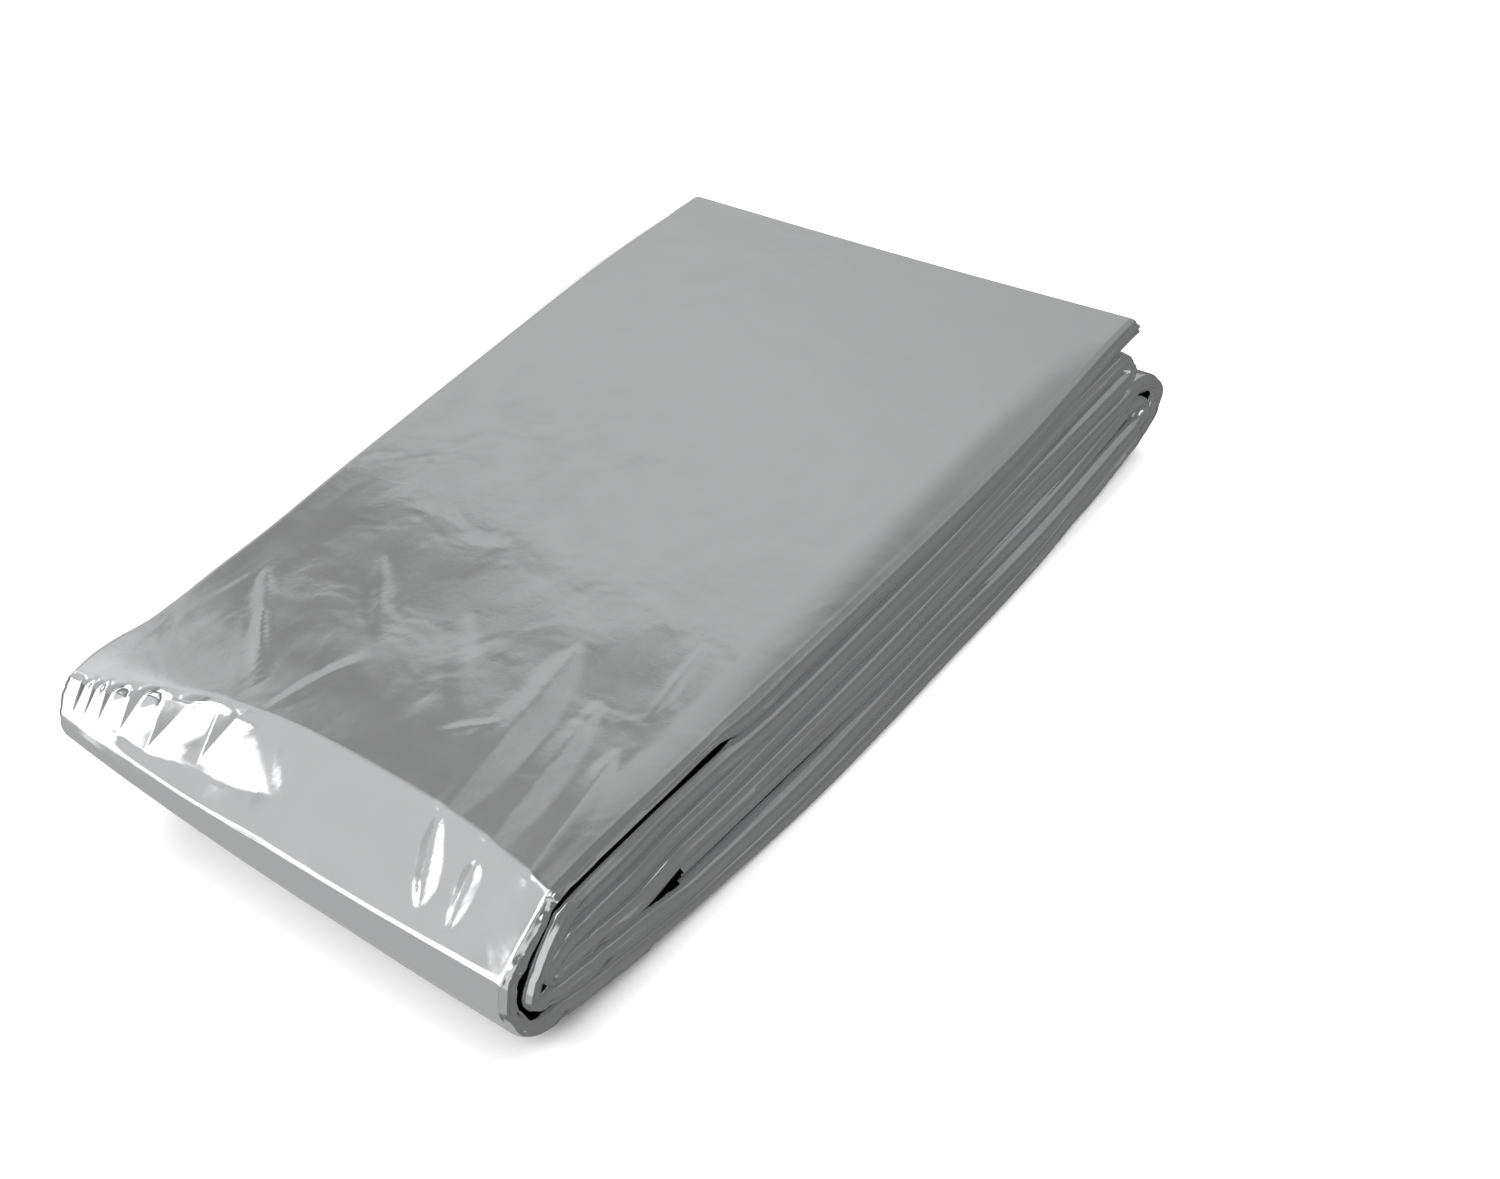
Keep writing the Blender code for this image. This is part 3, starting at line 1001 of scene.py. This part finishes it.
def paper_floor():
    mesh = bpy.data.meshes.new("floor")
    corners = [(x * FLOOR_HALF, y * FLOOR_HALF, 0.0) for x, y in ((-1, -1), (1, -1), (1, 1), (-1, 1))]
    mesh.from_pydata(corners, [], [(0, 1, 2, 3)])
    mesh.materials.append(white_paper())
    sheet = bpy.data.objects.new("floor", mesh)
    bpy.context.scene.collection.objects.link(sheet)
    sheet.visible_glossy = False
    return sheet


floor = paper_floor()
print("floor, m:", [round(side, 1) for side in floor.dimensions[:2]])

# %% [markdown]
# ## The studio that the film mirrors
#
# A photographer lights foil with large soft boxes and grey cards, because a mirror shows nothing but what
# stands round it. Lit planes could stand round the pack here too, but they would light the floor as well.
# Cards painted into the world are seen only by what mirrors them, look the same from every point of the
# film, and take one row of a table each.
#
# A card is given by the direction of its middle: azimuth 0 points to the pack's right and 90 to its far
# end. Its width and height, to either side of the middle, and its soft edge are in degrees too. A ceiling
# panel lies level overhead instead, and its sides are given as if it hung 1 m above the pack. A later row
# lies over an earlier one. The white key softbox gives the bright facets, and the grey flag under its left
# part keeps the foot of the slant grey.

# %% Cards and ceiling panels
Card = namedtuple("Card", "name azimuth elevation width height soft brightness")
CARDS = (
    Card("satin box behind the pack, left", 135.0, 26.0, 38.0, 26.0, 6.0, 0.405),
    Card("satin box, brighter part", 148.0, 35.0, 16.0, 7.0, 6.0, 0.47),
    Card("left fill", 186.0, 46.0, 18.0, 14.0, 5.0, 0.56),
    Card("left wall", 186.0, 24.0, 12.0, 10.0, 5.0, 0.46),
    Card("strip light, left", 177.5, 37.5, 3.0, 4.5, 1.2, 1.2),
    Card("strip light, soft end", 166.0, 39.0, 5.0, 2.4, 2.0, 0.72),
    Card("key softbox, front left", 235.7, 32.0, 28.0, 13.7, 1.8, 1.7),
    Card("key softbox, left part", 202.5, 34.1, 5.5, 2.7, 1.0, 1.7),
    Card("grey flag under its left part", 204.5, 22.0, 8.0, 7.0, 1.5, 0.42),
    Card("fill card, front right", 292.0, 38.0, 30.0, 26.0, 4.0, 0.66),
    Card("key softbox, upper half", 243.0, 52.0, 15.0, 14.0, 3.0, 1.7),
    Card("key softbox, upper left edge", 217.0, 45.2, 3.4, 2.2, 0.8, 1.7),
    Card("top light", 196.0, 70.0, 16.0, 10.0, 3.0, 1.5),
    Card("top light, right", 0.0, 79.0, 13.0, 8.0, 3.0, 1.3),
    Card("front left, low", 226.0, -32.0, 28.0, 52.0, 6.0, 0.43),
    Card("floor, left", 172.0, -52.0, 30.0, 16.0, 6.0, 0.42),
    Card("front, low", 282.0, -4.0, 24.0, 20.0, 8.0, 0.4),
    Card("right strip", 76.0, 48.0, 30.0, 9.0, 6.0, 0.30),
    Card("backdrop, left", 160.0, -3.0, 16.0, 15.0, 8.0, 1.3),
)
Panel = namedtuple("Panel", "name from_x to_x from_y to_y soft brightness")
PANELS = (
    Panel("grey ceiling panel", -1.25, -0.84, 0.61, 0.765, 0.03, 0.265),
    Panel("grey ceiling panel, near half", -1.145, -0.79, 0.44, 0.63, 0.05, 0.262),
    Panel("dark spot in the grey ceiling panel", -1.24, -1.12, 0.66, 0.735, 0.03, 0.235),
)


def card_place(card):
    """A card's direction, and the way across each pair of its sides with the soft edge's two ends."""
    azimuth, elevation = math.radians(card.azimuth), math.radians(card.elevation)
    level, rise = math.cos(elevation), math.sin(elevation)
    centre = (math.cos(azimuth) * level, math.sin(azimuth) * level, rise)
    side = (-math.sin(azimuth), math.cos(azimuth), 0.0)
    above = (-math.cos(azimuth) * rise, -math.sin(azimuth) * rise, level)
    sides = []
    for direction, half in ((side, card.width), (above, card.height)):
        ends = [math.tan(math.radians(half + soft)) for soft in (-card.soft, card.soft)]
        sides.append((direction, *ends))
    return centre, sides


def panel_place(panel):
    """The same for a ceiling panel, whose direction is straight up."""
    sides = []
    for axis, low, high in (((1.0, 0.0), panel.from_x, panel.to_x), ((0.0, 1.0), panel.from_y, panel.to_y)):
        half = (high - low) / 2.0
        sides.append(((*axis, -(low + high) / 2.0), half - panel.soft, half + panel.soft))
    return (0.0, 0.0, 1.0), sides


print("cards:", len(CARDS), "and ceiling panels:", len(PANELS))

# %% [markdown]
# ### From cards to a world
#
# Three masks tell where a card is: one is 1 in front of it, and two are 1 between its pairs of sides. Their
# product lays the card's brightness over the light so far. Two more layers of the same kind come last. One
# shows the camera a white backdrop, and the other keeps the world's light off matt surfaces, because the
# lamps light those.

# %% World
BASE_LIGHT, FLOOR_LIGHT, CAMERA_LIGHT = 0.19, 0.18, 1.0
HORIZON_FROM, HORIZON_TO = -0.2, 0.3
AHEAD_FROM, AHEAD_TO = 0.0, 0.2
SOFT = {"interpolation_type": "SMOOTHSTEP"}


def card_masks(tree, where, centre, sides):
    """The three masks of a card or a panel."""
    settings = {"operation": "DOT_PRODUCT", 1: centre}
    ahead = node(tree, "ShaderNodeVectorMath", settings, {0: where}).outputs["Value"]
    masks = [node(tree, "ShaderNodeMapRange", {1: AHEAD_FROM, 2: AHEAD_TO}, {0: ahead}).outputs[0]]
    for direction, soft_from, soft_to in sides:
        settings = {"operation": "DOT_PRODUCT", 1: direction}
        off = node(tree, "ShaderNodeVectorMath", settings, {0: where}).outputs["Value"]
        off = node(tree, "ShaderNodeMath", {"operation": "DIVIDE"}, {0: off, 1: ahead}).outputs[0]
        off = node(tree, "ShaderNodeMath", {"operation": "ABSOLUTE"}, {0: off}).outputs[0]
        settings = {**SOFT, 1: soft_from, 2: soft_to, 3: 1.0, 4: 0.0}
        masks.append(node(tree, "ShaderNodeMapRange", settings, {0: off}).outputs[0])
    return masks


def studio_world():
    world = bpy.data.worlds.new("studio")
    world.use_nodes = True
    tree = world.node_tree
    tree.nodes.clear()
    where = node(tree, "ShaderNodeTexCoord").outputs["Generated"]
    up = node(tree, "ShaderNodeSeparateXYZ", links={0: where}).outputs["Z"]
    settings = {**SOFT, 1: HORIZON_FROM, 2: HORIZON_TO, 3: FLOOR_LIGHT, 4: BASE_LIGHT}
    light = node(tree, "ShaderNodeMapRange", settings, {0: up}).outputs[0]
    layers = [(card.brightness, card_masks(tree, where, *card_place(card))) for card in CARDS]
    layers += [(panel.brightness, card_masks(tree, where, *panel_place(panel))) for panel in PANELS]
    rays = node(tree, "ShaderNodeLightPath").outputs
    layers += [(CAMERA_LIGHT, [rays["Is Camera Ray"]] * 3), (0.0, [rays["Is Diffuse Ray"]] * 3)]
    for brightness, (first, second, third) in layers:
        mask = node(tree, "ShaderNodeMath", {"operation": "MULTIPLY"}, {0: first, 1: second}).outputs[0]
        mask = node(tree, "ShaderNodeMath", {"operation": "MULTIPLY"}, {0: mask, 1: third}).outputs[0]
        gap = node(tree, "ShaderNodeMath", {"operation": "SUBTRACT", 0: brightness}, {1: light}).outputs[0]
        links = {0: gap, 1: mask, 2: light}
        light = node(tree, "ShaderNodeMath", {"operation": "MULTIPLY_ADD"}, links).outputs[0]
    background = node(tree, "ShaderNodeBackground", links={"Color": light})
    node(tree, "ShaderNodeOutputWorld", links={"Surface": background.outputs[0]})
    return world


bpy.context.scene.world = studio_world()
bpy.context.scene.view_settings.view_transform = "Standard"
print("nodes in the world:", len(bpy.context.scene.world.node_tree.nodes))

# %% [markdown]
# ### Lamps for the floor
#
# Eight sun lamps in a ring light the paper evenly and leave a soft, short shadow all round the pack. A
# lamp's wide angle makes its shadow soft, and its height keeps it short. The film doesn't mirror the lamps,
# which would show as eight small suns.

# %% Floor lamps
LAMP_COUNT = 8
LAMP_ELEVATION, LAMP_ANGLE, LAMP_STRENGTH = 54.0, 24.0, 1.06

for index in range(LAMP_COUNT):
    lamp = bpy.data.lights.new(f"floor_lamp_{index}", "SUN")
    lamp.energy = LAMP_STRENGTH
    lamp.angle = math.radians(LAMP_ANGLE)
    holder = bpy.data.objects.new(f"floor_lamp_{index}", lamp)
    turn = 2.0 * math.pi * index / LAMP_COUNT
    holder.rotation_euler = (math.radians(90.0 - LAMP_ELEVATION), 0.0, turn)
    bpy.context.scene.collection.objects.link(holder)
    holder.visible_glossy = False
print("floor lamps:", LAMP_COUNT, "at", LAMP_ELEVATION, "degrees")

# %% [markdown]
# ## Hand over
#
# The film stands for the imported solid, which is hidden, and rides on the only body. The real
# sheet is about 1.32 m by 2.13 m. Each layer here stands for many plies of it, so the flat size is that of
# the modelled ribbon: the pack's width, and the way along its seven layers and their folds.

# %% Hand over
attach(film, "root")
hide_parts("folded_blanket")
